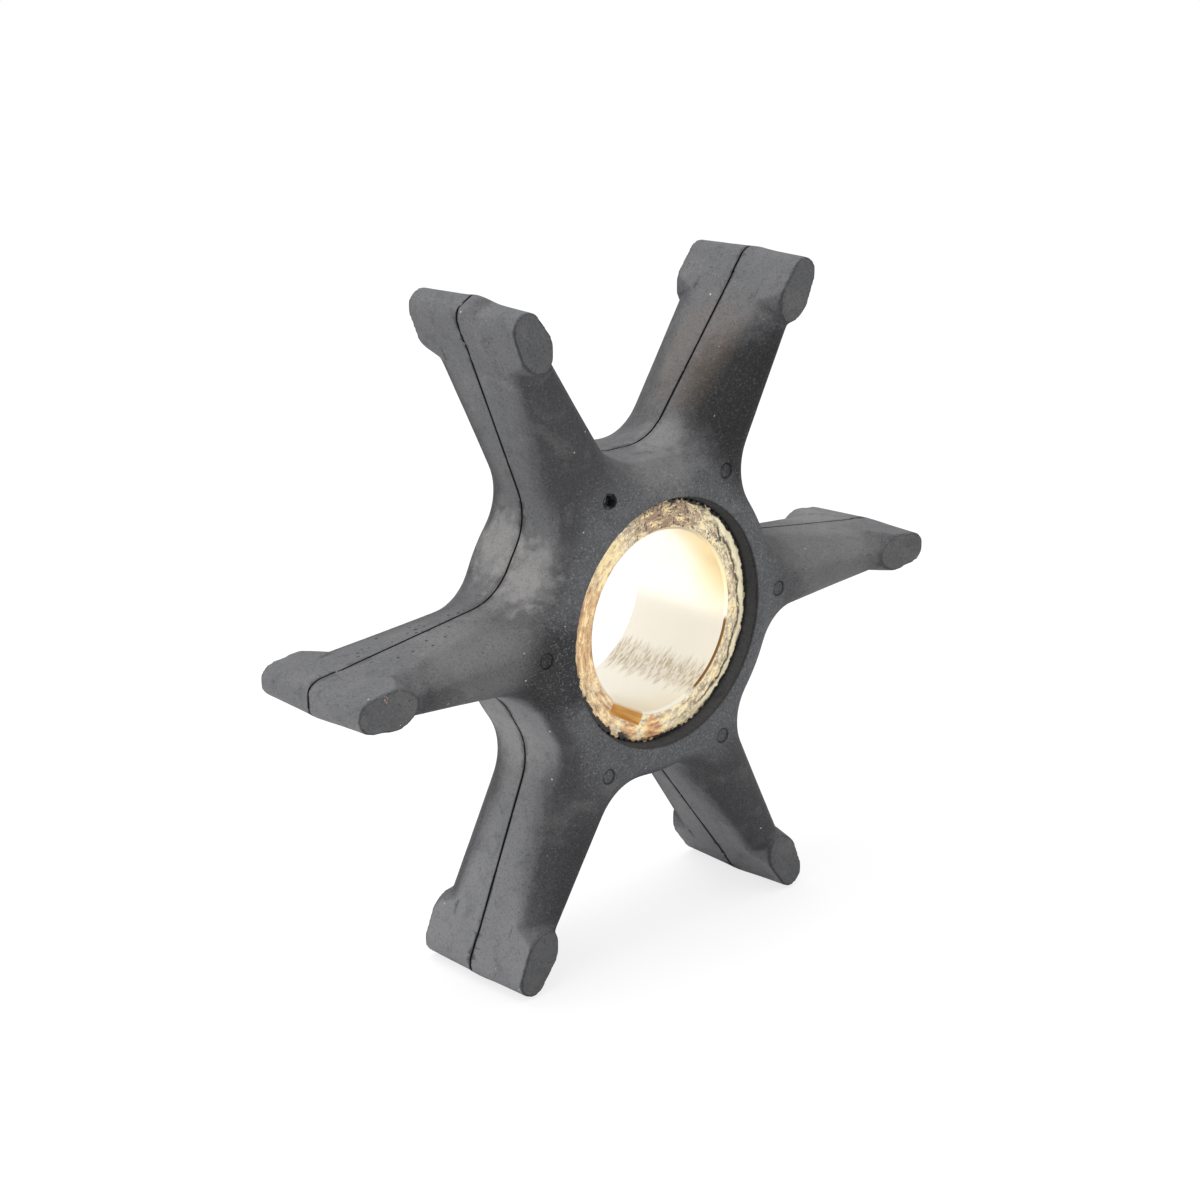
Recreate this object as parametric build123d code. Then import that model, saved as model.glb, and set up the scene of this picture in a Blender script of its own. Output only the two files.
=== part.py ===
"""Six-vane rubber pump impeller moulded round a keyed brass bushing, in millimetres.

The pieces are drawn round the Z axis with the front face on top, then turned so that the
shaft axis is Y and the front face looks towards -Y.  The origin is on the shaft axis, midway
between the two faces, and the impeller stands on its two lower vane tips.
"""

from build123d import *
import os
from math import asin, atan2, cos, hypot, pi, radians, sin, sqrt, tan

# Brass bushing
bore_diameter = 19.05
bushing_wall = 3.175
key_width = 4.76
keyway_depth = 1.135
keyway_angle = 240.0
mouth_chamfer = 0.3
face_bevel_width = 1.4
face_bevel_depth = 0.45
knurl_pitch = 0.89
knurl_depth = 0.25

# Rubber hub
hub_width = 15.0
hub_wall = 4.3
rim_rounding = 3.0
valley_rounding = 6.3
ring_inset = 0.3
front_recess = 1.3
back_recess = 0.5
recess_flare = 0.35
mark_inset = 0.4
mark_diameter = 1.5
mark_depth = 0.3
torn_mark_depth = 1.0
torn_mark_angle = 120.0

# Rubber vanes
vane_count = 6
outer_diameter = 80.0
root_thickness = 9.5
tip_thickness = 3.9
side_draft = 2.0
nose_stretch = 1.45
crest_drop = 0.3
pad_length = 7.0
pad_stretch = 1.7
pad_step = 0.1

# Angles round a vane's nose at which its outline is drawn, from its side to its crest
nose_angles = (0, 18, 36, 54, 66, 76, 83)

# Places and forms that follow from the sizes above
half_width = hub_width / 2
tip_radius = outer_diameter / 2
bushing_radius = bore_diameter / 2 + bushing_wall
waist_radius = bushing_radius + hub_wall
mark_circle_radius = waist_radius - mark_inset
keyway_floor_radius = bore_diameter / 2 + keyway_depth
vane_pitch = 360 / vane_count
half_pitch = radians(vane_pitch / 2)
draft = tan(radians(side_draft))
bushing_front = half_width - front_recess
bushing_back = back_recess - half_width
bushing_length = bushing_front - bushing_back
knurl_count = round(2 * pi * bushing_radius / knurl_pitch)


def vane_side(root_half, tip_centre, tip_round):
    """Slant of a vane's side to its centre line, and the side's distance from the shaft axis."""
    run = tip_centre - waist_radius
    slant = atan2(root_half, run) - asin(tip_round / hypot(run, root_half))
    return slant, tip_round + tip_centre * sin(slant)


tip_round = tip_thickness / 2
tip_centre = tip_radius + half_width * draft - tip_round
side_slant, side_offset = vane_side(root_thickness / 2, tip_centre, tip_round)
pad_middle = (tip_radius - pad_length + pad_stretch * side_offset) / (1 + pad_stretch * sin(side_slant))
pad_round = side_offset - pad_middle * sin(side_slant)
vane_end = tip_radius - pad_length / 2
vane_end_round = side_offset - vane_end * sin(side_slant) - pad_step
crest_height = half_width - crest_drop
root_nose = min(nose_stretch * root_thickness / 2, crest_height)
end_nose = min(nose_stretch * vane_end_round, crest_height)


def polar(radius, angle):
    """Point at a radius and an angle in radians, in the plane across the shaft."""
    return (radius * cos(angle), radius * sin(angle))


def round_the_shaft(shape):
    """One copy of a shape for each vane."""
    return [Rot(0, 0, index * vane_pitch) * shape for index in range(vane_count)]


def below(point):
    """Mirror image of a point in the centre line of the first vane."""
    return (point[0], -point[1])


def star_outline(waist, root_half, end_centre, end_round):
    """Outline of hub and vanes: straight sides, round ends and rounded valleys between them."""
    slant, offset = vane_side(root_half, end_centre, end_round)
    foot_angle = asin((offset + valley_rounding) / (waist + valley_rounding)) - slant
    centre_x, centre_y = polar(waist + valley_rounding, foot_angle)
    bend_x, bend_y = polar(valley_rounding, (foot_angle - slant) / 2 - 3 * pi / 4)
    root = (centre_x - valley_rounding * sin(slant), centre_y - valley_rounding * cos(slant))
    bend = (centre_x + bend_x, centre_y + bend_y)
    foot = polar(waist, foot_angle)
    next_foot = polar(waist, 2 * half_pitch - foot_angle)
    end = (end_centre + end_round * sin(slant), end_round * cos(slant))
    edges = []
    for index in range(vane_count):
        turn = Rot(0, 0, index * vane_pitch)
        edges += [
            turn * ThreePointArc(below(foot), below(bend), below(root)),
            turn * Line(below(root), below(end)),
            turn * ThreePointArc(below(end), (end_centre + end_round, 0), end),
            turn * Line(end, root),
            turn * ThreePointArc(root, bend, foot),
            turn * ThreePointArc(foot, polar(waist, half_pitch), next_foot),
        ]
    return make_face(Wire(edges))


def round_share(depth, nose):
    """Share of the full thickness that is left at a depth below the crest of a round nose."""
    return sqrt(1 - (1 - min(depth / nose, 1)) ** 2)


def level_outline(height):
    """Outline of the round-edged body at a height above the parting plane."""
    depth = crest_height - height
    inset = height * draft
    rim_depth = min(half_width - height, rim_rounding)
    waist = waist_radius - inset - rim_rounding * (1 - round_share(rim_depth, rim_rounding))
    root_half = (root_thickness / 2 - inset) * round_share(depth, root_nose)
    end_round = (vane_end_round - inset) * round_share(depth, end_nose)
    return Pos(0, 0, height) * star_outline(waist, root_half, vane_end, end_round)


def rounded_half():
    """Half of the body, from the parting plane to the crest of its vanes."""
    heights = [0] + [crest_height - root_nose * (1 - sin(radians(a))) for a in nose_angles]
    return loft([level_outline(height) for height in sorted(set(heights))])


def hub_drum():
    """Drum just inside the waist, whose faces stand a little above the vanes."""
    drum = Cylinder(waist_radius - ring_inset, hub_width)
    return fillet(drum.edges().filter_by(GeomType.CIRCLE), rim_rounding)


def tip_pads():
    """Square-edged vane tips that run against the pump's end plates."""
    outline = star_outline(waist_radius, root_thickness / 2, tip_centre, tip_round)
    star = extrude(outline, amount=half_width, both=True, taper=side_draft)
    inner_end = Pos(pad_middle, 0) * Ellipse(pad_stretch * pad_round, pad_round)
    zone = extrude(inner_end, amount=half_width, both=True)
    zone += Pos(pad_middle + tip_radius / 2, 0) * Box(tip_radius, 2 * pad_round, hub_width)
    zone &= Cylinder(tip_radius, hub_width)
    return [star & copy for copy in round_the_shaft(zone)]


def bushing_blank():
    """Bevelled turning of the bushing, before its knurl, bore and keyway."""
    bevel_radius = bushing_radius - face_bevel_width
    half = [
        (0, bushing_back), (bevel_radius, bushing_back),
        (bushing_radius, bushing_back + face_bevel_depth),
        (bushing_radius, bushing_front - face_bevel_depth),
        (bevel_radius, bushing_front), (0, bushing_front),
    ]
    return revolve(Plane.XZ * make_face(Polyline(*half, close=True)), Axis.Z)


def knurled_core(low, high):
    """Straight-knurled cylinder between two heights."""
    step = pi / knurl_count
    radii = (bushing_radius, bushing_radius - knurl_depth)
    points = [polar(radii[index % 2], index * step) for index in range(2 * knurl_count)]
    knurl = make_face(Polyline(*points, close=True))
    return Pos(0, 0, low) * extrude(knurl, amount=high - low)


def brass_bushing():
    """Knurled bushing with a chamfered bore and a shallow keyway along its whole length."""
    bushing = bushing_blank() & knurled_core(bushing_back, bushing_front)
    middle = Pos(0, 0, (bushing_front + bushing_back) / 2)
    bushing -= middle * Cylinder(bore_diameter / 2, bushing_length)
    keyway = Pos(keyway_floor_radius / 2, 0) * Box(keyway_floor_radius, key_width, bushing_length)
    mouths = bushing.edges().filter_by(GeomType.CIRCLE).group_by(SortBy.RADIUS)[0]
    bushing = chamfer(mouths, mouth_chamfer)
    return bushing - middle * Rot(0, 0, keyway_angle) * keyway


def bushing_seat():
    """Space in the rubber that the bushing fills, open to a flared recess in each face."""
    low = bushing_back + face_bevel_depth
    high = bushing_front - face_bevel_depth
    seat = knurled_core(low, high)
    for face, depth in ((1, half_width - high), (-1, half_width + low)):
        flare = Cone(bushing_radius, bushing_radius + recess_flare, depth)
        turn = Rot(0 if face > 0 else 180, 0, 0)
        seat += Pos(0, 0, face * (half_width - depth / 2)) * turn * flare
    return seat


def moulding_marks():
    """Round dimples of the mould's pins in the front of the vanes, one of them torn deeper."""
    marks = []
    for index in range(vane_count):
        angle = index * vane_pitch
        depth = torn_mark_depth if abs(angle - torn_mark_angle) < vane_pitch / 2 else mark_depth
        dimple = Cylinder(mark_diameter / 2, 2 * depth)
        marks.append(Rot(0, 0, angle) * Pos(mark_circle_radius, 0, crest_height) * dimple)
    return marks


def rubber_impeller():
    """Hub and vanes, moulded in one piece."""
    half = rounded_half()
    body = half + mirror(half, Plane.XY) + hub_drum() + tip_pads()
    body -= bushing_seat()
    return body - moulding_marks()


pieces = {
    "rubber_impeller": rubber_impeller(),
    "brass_bushing": brass_bushing(),
}
os.makedirs("parts", exist_ok=True)
for name, piece in pieces.items():
    export_step(Rot(90, 0, 0) * piece, f"parts/{name}.step")
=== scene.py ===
"""Looks of a rubber pump impeller: black moulded rubber round a keyed brass bushing.

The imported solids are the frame.  The rubber is a copy of its solid with sloped run-outs at
the vane tips, a mould line, pin marks and a skin of fine faces; the bushing is modelled from
a ring.  Lengths are metres, but places inside the materials are millimetres.  Vane angles
turn about the shaft axis, Y, from +X towards +Z, and the front faces look towards -Y.
"""

from collections import namedtuple
from math import atan2, cos, degrees, exp, hypot, pi, radians, sin, tan

import bpy
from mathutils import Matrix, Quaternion, Vector, noise


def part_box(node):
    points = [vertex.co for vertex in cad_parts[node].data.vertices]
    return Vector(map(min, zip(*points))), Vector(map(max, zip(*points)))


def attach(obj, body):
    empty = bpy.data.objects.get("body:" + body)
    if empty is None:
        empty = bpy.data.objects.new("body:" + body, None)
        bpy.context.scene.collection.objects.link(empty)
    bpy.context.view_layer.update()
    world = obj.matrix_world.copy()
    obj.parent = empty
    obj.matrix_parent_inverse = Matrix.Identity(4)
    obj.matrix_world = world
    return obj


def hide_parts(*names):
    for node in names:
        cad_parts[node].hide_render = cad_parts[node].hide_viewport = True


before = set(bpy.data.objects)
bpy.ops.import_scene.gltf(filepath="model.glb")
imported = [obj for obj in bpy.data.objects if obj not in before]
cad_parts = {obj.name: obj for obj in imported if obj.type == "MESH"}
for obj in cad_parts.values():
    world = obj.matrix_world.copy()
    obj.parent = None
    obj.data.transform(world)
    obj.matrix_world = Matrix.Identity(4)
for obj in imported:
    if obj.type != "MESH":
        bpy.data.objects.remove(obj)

bl_info = {
    "name": "Pump Impeller Looks",
    "version": (1, 1, 0),
    "blender": (4, 5, 0),
    "location": "View3D > Sidebar > Impeller",
    "description": "Builds the rubber, the brass bushing and the stage of a pump impeller",
    "category": "Object",
}

MM = 0.001
RUBBER_NODE = "rubber_impeller"
BRASS_NODE = "brass_bushing"
RUBBER_LOW, RUBBER_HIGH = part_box(RUBBER_NODE)
BRASS_LOW, BRASS_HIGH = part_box(BRASS_NODE)
VANE_COUNT = 6
VANE_PITCH = 2 * pi / VANE_COUNT


# ---- settings

def property_kind(make, convert=lambda value: value, **fixed):
    """Way to make properties of one kind, each from a name, a description and a value."""
    return lambda name, description, value: make(
        name=name, description=description, default=convert(value), **fixed)


length = property_kind(bpy.props.FloatProperty, lambda millimetres: millimetres * MM,
                       unit="LENGTH", precision=6)
turn = property_kind(bpy.props.FloatProperty, radians, subtype="ANGLE")
tint = property_kind(bpy.props.FloatVectorProperty, subtype="COLOR", size=3)
point = property_kind(bpy.props.FloatVectorProperty, subtype="XYZ", unit="LENGTH", size=3)
amount = property_kind(bpy.props.FloatProperty)
count = property_kind(bpy.props.IntProperty)


class RubberSettings(bpy.types.PropertyGroup):
    """Sizes and colours of the moulded rubber."""

    skin: length("Skin", "Edge of the fine faces of the skin", 0.24)
    triangles: count("Triangles", "Triangles left in the thinned skin", 165000)
    pad_length: length("Pad length", "Length of the flat pad on each vane tip", 7.0)
    pad_stretch: amount("Pad stretch", "Length of a pad's round end over its half width", 1.7)
    side_slant: turn("Side slant", "Angle of a vane's side to its centre line", 7.44)
    side_draft: turn("Side draft", "Angle of a vane's side to the shaft axis", 2.0)
    side_offset: length("Side offset", "From the shaft axis to the plane of a vane's side", 6.91)
    crest_drop: length("Crest drop", "Drop from the hub's face to a vane's crest", 0.35)
    run_out_depth: length("Run-out depth", "Depth at which the run-outs meet the sides", 3.2)
    run_out_angle: turn("Run-out angle", "Slope of the run-outs, from the shaft axis", 21.0)
    low_swell: length("Low swell", "Height of the swelling on most tips", 0.10)
    high_swell: length("High swell", "Height of the swelling on one tip", 0.14)
    worn_corner: length("Worn corner", "Rubber worn off the front corner of that tip", 0.42)
    swell_place: length("Swell place", "Distance of the swelling in front of the line", 1.2)
    swell_width: length("Swell width", "Half width of the swelling", 1.6)
    swollen_vane: count("Swollen vane", "Number of the vane with the high swelling", 2)
    line_width: length("Line width", "Width of the crease on the mould line", 0.2)
    line_depth: length("Line depth", "Depth of the crease on the mould line", 0.16)
    line_raggedness: amount("Line raggedness", "Share by which the crease varies", 0.4)
    mark_circle: length("Mark circle", "Distance of the pin marks from the shaft axis", 16.6)
    mark_diameter: length("Mark diameter", "Diameter of a pin mark", 1.5)
    mark_depth: length("Mark depth", "Depth of a pin mark's floor", 0.10)
    mark_cuts: count("Mark cuts", "Cuts along each edge of the skin round a pin mark", 3)
    groove_width: length("Groove width", "Half width of the groove round a pin mark", 0.09)
    groove_depth: length("Groove depth", "Depth of the groove round a pin mark", 0.18)
    plug_depth: length("Plug depth", "Depth to which the solid's pin marks are closed", 1.3)
    torn_mark: count("Torn mark", "Number of the vane whose pin mark is torn", 2)
    torn_depth: length("Torn depth", "Depth of the torn pin mark", 1.1)
    nose_colour: tint("Nose colour", "Rubber on the rounded edges", (0.049, 0.049, 0.052))
    face_colour: tint("Face colour", "Rubber on the hub's faces", (0.084, 0.086, 0.091))
    side_colour: tint("Side colour", "Dusty rubber on the vanes' sides", (0.116, 0.117, 0.121))
    pad_colour: tint("Pad colour", "Worn rubber on the flat pads", (0.090, 0.091, 0.094))
    # The same pale colour also serves for the patches of painted light.
    dust_colour: tint("Dust colour", "Pale dust rubbed into the rubber", (0.32, 0.31, 0.30))
    # Black of the painted shade in the mould line, the recess wall and the pin marks, and of the
    # pores and pits.
    line_colour: tint("Line colour", "Bottom of the mould line", (0.002, 0.002, 0.002))


class BrassSettings(bpy.types.PropertyGroup):
    """Sizes and colours of the brass bushing."""

    bore: length("Bore radius", "Radius of the turned bore", 9.525)
    key_width: length("Key width", "Width of the keyway", 4.76)
    keyway_floor: length("Keyway floor", "From the shaft axis to the keyway's floor", 10.66)
    keyway_angle: turn("Keyway angle", "Direction of the keyway from the shaft axis", 240.0)
    teeth: count("Teeth", "Teeth of the knurl on the outside", 90)
    tooth_depth: length("Tooth depth", "Depth of the knurl", 0.25)
    chamfer: length("Mouth chamfer", "Chamfer at the mouths of the bore", 0.26)
    bevel_width: length("Bevel width", "Width of the worn bevel", 1.4)
    bevel_depth: length("Bevel depth", "Depth of the worn bevel", 0.15)
    wear: length("Wear", "Height of the lumps in the end faces", 0.06)
    bore_colour: tint("Bore colour", "Clean turned brass in the bore", (0.92, 0.87, 0.76))
    scale_colour: tint("Scale colour", "Grey lime scale on the end face", (0.50, 0.42, 0.28))
    pale_colour: tint("Pale colour", "Paler scale on the end face", (0.90, 0.80, 0.58))
    # Colour of the painted highlight on the bevel's crescent.
    bright_colour: tint("Bright colour", "Rubbed crescent on the bevel", (1.0, 0.90, 0.64))
    tan_colour: tint("Tan colour", "Orange tan tarnish on the end face", (0.62, 0.36, 0.16))
    gold_colour: tint("Gold colour", "Brass laid bare by wear", (0.98, 0.78, 0.42))
    copper_colour: tint("Copper colour", "Copper-coloured patches", (0.72, 0.34, 0.11))
    brown_colour: tint("Brown colour", "Brown stain of the end face", (0.27, 0.15, 0.09))
    # Also the black of the painted shade and shadow on the right of the bevel.
    crust_colour: tint("Crust colour", "Black crust in the hollows", (0.02, 0.017, 0.015))
    key_colour: tint("Key colour", "Brown varnish in the keyway", (0.66, 0.36, 0.09))


class StageSettings(bpy.types.PropertyGroup):
    """Floor, light and camera."""

    floor_size: length("Floor size", "Edge of the floor", 6000.0)
    floor_colour: tint("Floor colour", "Pale floor", (0.92, 0.92, 0.92))
    top_light: amount("Top light", "Watts of the lamp above", 2.2)
    left_light: amount("Left light", "Watts of the lamp on the left", 0.7)
    camera_place: point("Camera place", "Where the camera stands", (-0.16856, -0.17308, 0.07929))
    camera_aim: point("Camera aim", "Where the camera looks", (-0.00124, 0.00152, 0.00075))
    camera_roll: turn("Camera roll", "Turn of the camera about its line of sight", -0.16)
    lens: amount("Lens", "Focal length on a 36 mm sensor, in millimetres", 74.05)


# ---- modelling helpers

def select_only(piece):
    """Makes one object the only selected and active one."""
    bpy.ops.object.select_all(action="DESELECT")
    piece.select_set(True)
    bpy.context.view_layer.objects.active = piece


def edit(piece, select="DESELECT"):
    """Enters edit mode on one object, with all or nothing of it selected."""
    select_only(piece)
    bpy.ops.object.mode_set(mode="EDIT")
    bpy.ops.mesh.select_mode(type="VERT")
    bpy.ops.mesh.select_all(action=select)


def leave_edit():
    """Returns to object mode."""
    bpy.ops.object.mode_set(mode="OBJECT")


def added(name):
    """Names the object that a primitive operator has just made, and fixes its place."""
    piece = bpy.context.active_object
    piece.name = piece.data.name = name
    finish_place(piece)
    return piece


def finish_place(piece):
    """Puts the object at the origin, unturned and unscaled, with its place in its mesh."""
    select_only(piece)
    bpy.ops.object.transform_apply(location=True, rotation=True, scale=True)


def apply_modifier(piece, kind, **settings):
    """Adds a modifier with its settings and applies it."""
    select_only(piece)
    modifier = piece.modifiers.new(kind, kind)
    for key, value in settings.items():
        setattr(modifier, key, value)
    bpy.ops.object.modifier_apply(modifier=modifier.name)


def smooth_step(low, high, value):
    """0 below low, 1 above high, and an S between them."""
    share = min(max((value - low) / (high - low), 0.0), 1.0)
    return share * share * (3 - 2 * share)


def off_axis(place):
    """Distance from the shaft axis."""
    return hypot(place.x, place.z)


def turned(along, across, height, angle):
    """Point of a vane's own frame (along, across, height on Y) for a vane at an angle."""
    return Vector((along * cos(angle) - across * sin(angle), height,
                   along * sin(angle) + across * cos(angle)))


def vane_frame(place):
    """Distance along the nearest vane, and that vane's number."""
    angle = atan2(place.z, place.x)
    number = round(angle / VANE_PITCH)
    return off_axis(place) * cos(angle - number * VANE_PITCH), number % VANE_COUNT


# ---- rubber

WELD = 0.001 * MM
PLUG_MARGIN = 0.03 * MM

# Smoothed bands in millimetres: four edges, counted from the start of a pad or the circle
# of pin marks, and the heights on Y over which the band fades in
RUN_OUT_BAND, RUN_OUT_HEIGHTS = (-3.0, -1.6, -0.5, 0.1), (2.5, 4.0)
SHOULDER_BAND, SHOULDER_HEIGHTS = (-3.4, -2.4, 0.5, 2.5), (4.5, 5.5)

SWELL_START, SWELL_FULL = 2.6 * MM, 0.3 * MM
WORN_HEIGHT = 3.0 * MM
SEAT_MARGIN = 1.0 * MM
CREASE_WAVE = 1.1 * MM
FRONT_SKIN = -5 * MM

# Over the radius of a pin mark: the finer patch, what is pressed, and the flat floors
PATCH_REACH, PRESS_REACH, MARK_FLOOR, TORN_FLOOR = 2.2, 1.8, 0.8, 0.55


def solid_copy(node, name):
    """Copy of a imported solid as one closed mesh."""
    piece = bpy.data.objects.new(name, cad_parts[node].data.copy())
    bpy.context.scene.collection.objects.link(piece)
    piece.data.materials.clear()
    edit(piece, "SELECT")
    bpy.ops.mesh.remove_doubles(threshold=WELD)
    leave_edit()
    return piece


def cut_away(piece, place, normal):
    """Cuts off what lies beyond a plane and closes the cut."""
    edit(piece, "SELECT")
    bpy.ops.mesh.bisect(plane_co=place, plane_no=normal, use_fill=True, clear_outer=True)
    leave_edit()


def run_out(settings, angle, face):
    """Slope on which the round edges of one vane run out below its pad."""
    half_width = RUBBER_HIGH.y
    slant, draft, stretch = settings.side_slant, tan(settings.side_draft), settings.pad_stretch
    middle = RUBBER_HIGH.x - settings.pad_length + stretch * settings.side_offset
    middle /= 1 + stretch * sin(slant)
    radius = settings.side_offset - middle * sin(slant)
    depth = settings.run_out_depth
    foot = radius + depth * tan(settings.run_out_angle) / stretch
    bpy.ops.mesh.primitive_cone_add(
        vertices=64, radius1=foot, radius2=radius, depth=depth, rotation=(-face * pi / 2, 0, 0),
        location=(middle / stretch, face * (half_width - depth / 2), 0))
    cone = added("run_out")
    bpy.ops.transform.resize(value=(stretch, 1, 1), center_override=(0, 0, 0))
    bpy.ops.transform.rotate(value=angle, orient_axis="Y", center_override=(0, 0, 0))
    finish_place(cone)
    for side in (-1, 1):
        edge = turned(0, side * (settings.side_offset / cos(slant) - half_width * draft),
                      face * half_width, angle)
        cut_away(cone, edge, turned(sin(slant), side * cos(slant), face * draft, angle))
    cut_away(cone, turned(middle, 0, 0, angle), turned(1, 0, 0, angle))
    return cone


def mark_plug(settings, angle):
    """Plug that closes one pin mark of the solid, so that a finer one can be pressed there."""
    top = RUBBER_LOW.y + settings.crest_drop
    bpy.ops.mesh.primitive_cylinder_add(
        vertices=32, radius=settings.mark_diameter / 2 + PLUG_MARGIN, depth=settings.plug_depth,
        location=turned(settings.mark_circle, 0, top + settings.plug_depth / 2, angle),
        rotation=(pi / 2, 0, 0))
    return added("mark_plug")


def smooth_band(piece, measure, middle, edges, heights, passes):
    """Smooths a mesh inside a soft band of some measure, away from the mould line."""
    rise, full, still, end = (middle + edge * MM for edge in edges)
    low, high = (height * MM for height in heights)
    band = piece.vertex_groups.new(name="band")
    for vertex in piece.data.vertices:
        value = measure(vertex.co)
        weight = smooth_step(rise, full, value) * (1 - smooth_step(still, end, value))
        weight *= smooth_step(low, high, abs(vertex.co.y))
        if weight > 0:
            band.add([vertex.index], weight, "REPLACE")
    apply_modifier(piece, "SMOOTH", factor=0.5, iterations=passes, vertex_group="band")
    piece.vertex_groups.clear()


def add_mould_swell(piece, settings):
    """Low swelling of the tips in front of the mould line, and the worn corner of one tip."""
    tip = RUBBER_HIGH.x
    for vertex in piece.data.vertices:
        along, number = vane_frame(vertex.co)
        if along < tip - SWELL_START:
            continue
        height = settings.high_swell if number == settings.swollen_vane else settings.low_swell
        away = (vertex.co.y + settings.swell_place) / settings.swell_width
        rise = height * exp(-away * away)
        if number == settings.swollen_vane:
            rise -= settings.worn_corner * smooth_step(0, WORN_HEIGHT, -vertex.co.y)
        rise *= smooth_step(tip - SWELL_START, tip - SWELL_FULL, along)
        vertex.co += Vector((vertex.co.x, 0, vertex.co.z)).normalized() * rise


def add_mould_line(piece, settings):
    """Crease round the hub and vanes where the mould's halves meet."""
    width, depth = settings.line_width / 2, settings.line_depth
    for place in (-width, 0, width):
        edit(piece, "SELECT")
        bpy.ops.mesh.bisect(plane_co=(0, place, 0), plane_no=(0, 1, 0))
        leave_edit()
    normals = [vertex.normal.copy() for vertex in piece.data.vertices]
    for vertex, normal in zip(piece.data.vertices, normals):
        on_line = abs(vertex.co.y) < 0.1 * width
        if on_line and off_axis(vertex.co) > BRASS_HIGH.x + SEAT_MARGIN:
            ragged = 1.0 + settings.line_raggedness * noise.noise(vertex.co / CREASE_WAVE)
            normal.y = 0
            vertex.co -= normal.normalized() * depth * ragged


def torn_edge(direction):
    """Distance of the torn mark's lobed edge from its centre, over the radius of a mark."""
    return 0.85 + 0.25 * cos(3 * direction + 1.0) + 0.1 * cos(7 * direction)


def press_marks(piece, settings):
    """Presses the round pin marks into a finer patch of the skin, and tears one of them open."""
    centres = [turned(settings.mark_circle, 0, RUBBER_LOW.y, number * VANE_PITCH)
               for number in range(VANE_COUNT)]
    radius = settings.mark_diameter / 2
    edit(piece)
    bpy.ops.mesh.select_mode(type="FACE")
    leave_edit()
    for polygon in piece.data.polygons:
        middle = polygon.center
        polygon.select = middle.y < FRONT_SKIN and any(
            (middle - centre).length < PATCH_REACH * radius for centre in centres)
    bpy.ops.object.mode_set(mode="EDIT")
    bpy.ops.mesh.subdivide(number_cuts=settings.mark_cuts)
    leave_edit()
    for vertex in piece.data.vertices:
        if vertex.co.y > FRONT_SKIN:
            continue
        for number, centre in enumerate(centres):
            x, z = vertex.co.x - centre.x, vertex.co.z - centre.z
            away = hypot(x, z)
            if away > PRESS_REACH * radius:
                continue
            if number == settings.torn_mark:
                edge = radius * torn_edge(atan2(z, x))
                floor = 1 - smooth_step(TORN_FLOOR * edge, edge, away)
                vertex.co.y += settings.torn_depth * floor
            else:
                groove = (away - radius) / settings.groove_width
                floor = 1 - smooth_step(MARK_FLOOR * radius, radius, away)
                vertex.co.y += settings.mark_depth * floor
                vertex.co.y += settings.groove_depth * exp(-groove * groove)


def build_rubber(settings):
    """The hub and vanes as one skin of fine faces."""
    piece = solid_copy(RUBBER_NODE, "moulded_rubber")
    angles = [number * VANE_PITCH for number in range(VANE_COUNT)]
    forms = [run_out(settings, angle, face) for angle in angles for face in (-1, 1)]
    forms += [mark_plug(settings, angle) for angle in angles]
    select_only(piece)
    for form in forms:
        form.select_set(True)
    bpy.ops.object.join()
    apply_modifier(piece, "REMESH", mode="VOXEL", voxel_size=settings.skin)
    pad_start = RUBBER_HIGH.x - settings.pad_length
    smooth_band(piece, lambda place: vane_frame(place)[0], pad_start, RUN_OUT_BAND,
                RUN_OUT_HEIGHTS, passes=10)
    smooth_band(piece, off_axis, settings.mark_circle, SHOULDER_BAND, SHOULDER_HEIGHTS,
                passes=40)
    apply_modifier(piece, "SMOOTH", factor=0.5, iterations=2)
    add_mould_swell(piece, settings)
    triangles = sum(len(polygon.vertices) - 2 for polygon in piece.data.polygons)
    apply_modifier(piece, "DECIMATE", ratio=min(1.0, settings.triangles / triangles))
    add_mould_line(piece, settings)
    press_marks(piece, settings)
    select_only(piece)
    bpy.ops.object.shade_smooth()
    return piece


# ---- brass

POINTS_PER_TOOTH = 6

# Rings of points on each straight part of the section, front rim to back, and in the bore
FACE_RINGS, BORE_RINGS = (12, 8, 3, 8, 12), 25

# Sizes of the lumps in the faces and in the rim, and the height of each over the wear
LUMP_WAVE, GRAIN_WAVE, RIM_WAVE = 1.3 * MM, 0.35 * MM, 0.9 * MM
LUMP_SHARE, GRAIN_SHARE, RIM_SHARE = 0.9, 0.7, 2.0
WORN_SHARE_OF_BEVEL, WEAR_FADE = 1.2, 0.5 * MM

CUTTER_DEPTH, CUTTER_LENGTH = 6 * MM, 20 * MM
SHARP_EDGE = radians(35)


def spaced(start, end, steps):
    """Evenly spaced (radius, height) pairs from start to end, both included."""
    return [tuple(a + (b - a) * step / (steps - 1) for a, b in zip(start, end))
            for step in range(steps)]


def section_loops(settings):
    """Radius and height of each ring of points, from the front mouth round to the bore's back."""
    bore, rim, depth = settings.bore, BRASS_HIGH.x, settings.bevel_depth
    mouth, bevel = bore + settings.chamfer, rim - settings.bevel_width
    front, back = BRASS_LOW.y, BRASS_HIGH.y
    corners = [(mouth, front), (bevel, front), (rim, front + depth),
               (rim, back - depth), (bevel, back), (mouth, back)]
    bore_front, bore_back = (bore, front + settings.chamfer), (bore, back - settings.chamfer)
    loops = [bore_front, corners[0]]
    for start, end, rings in zip(corners, corners[1:], FACE_RINGS):
        loops += spaced(start, end, rings)[1:]
    return loops + spaced(bore_back, bore_front, BORE_RINGS)[:-1]


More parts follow.
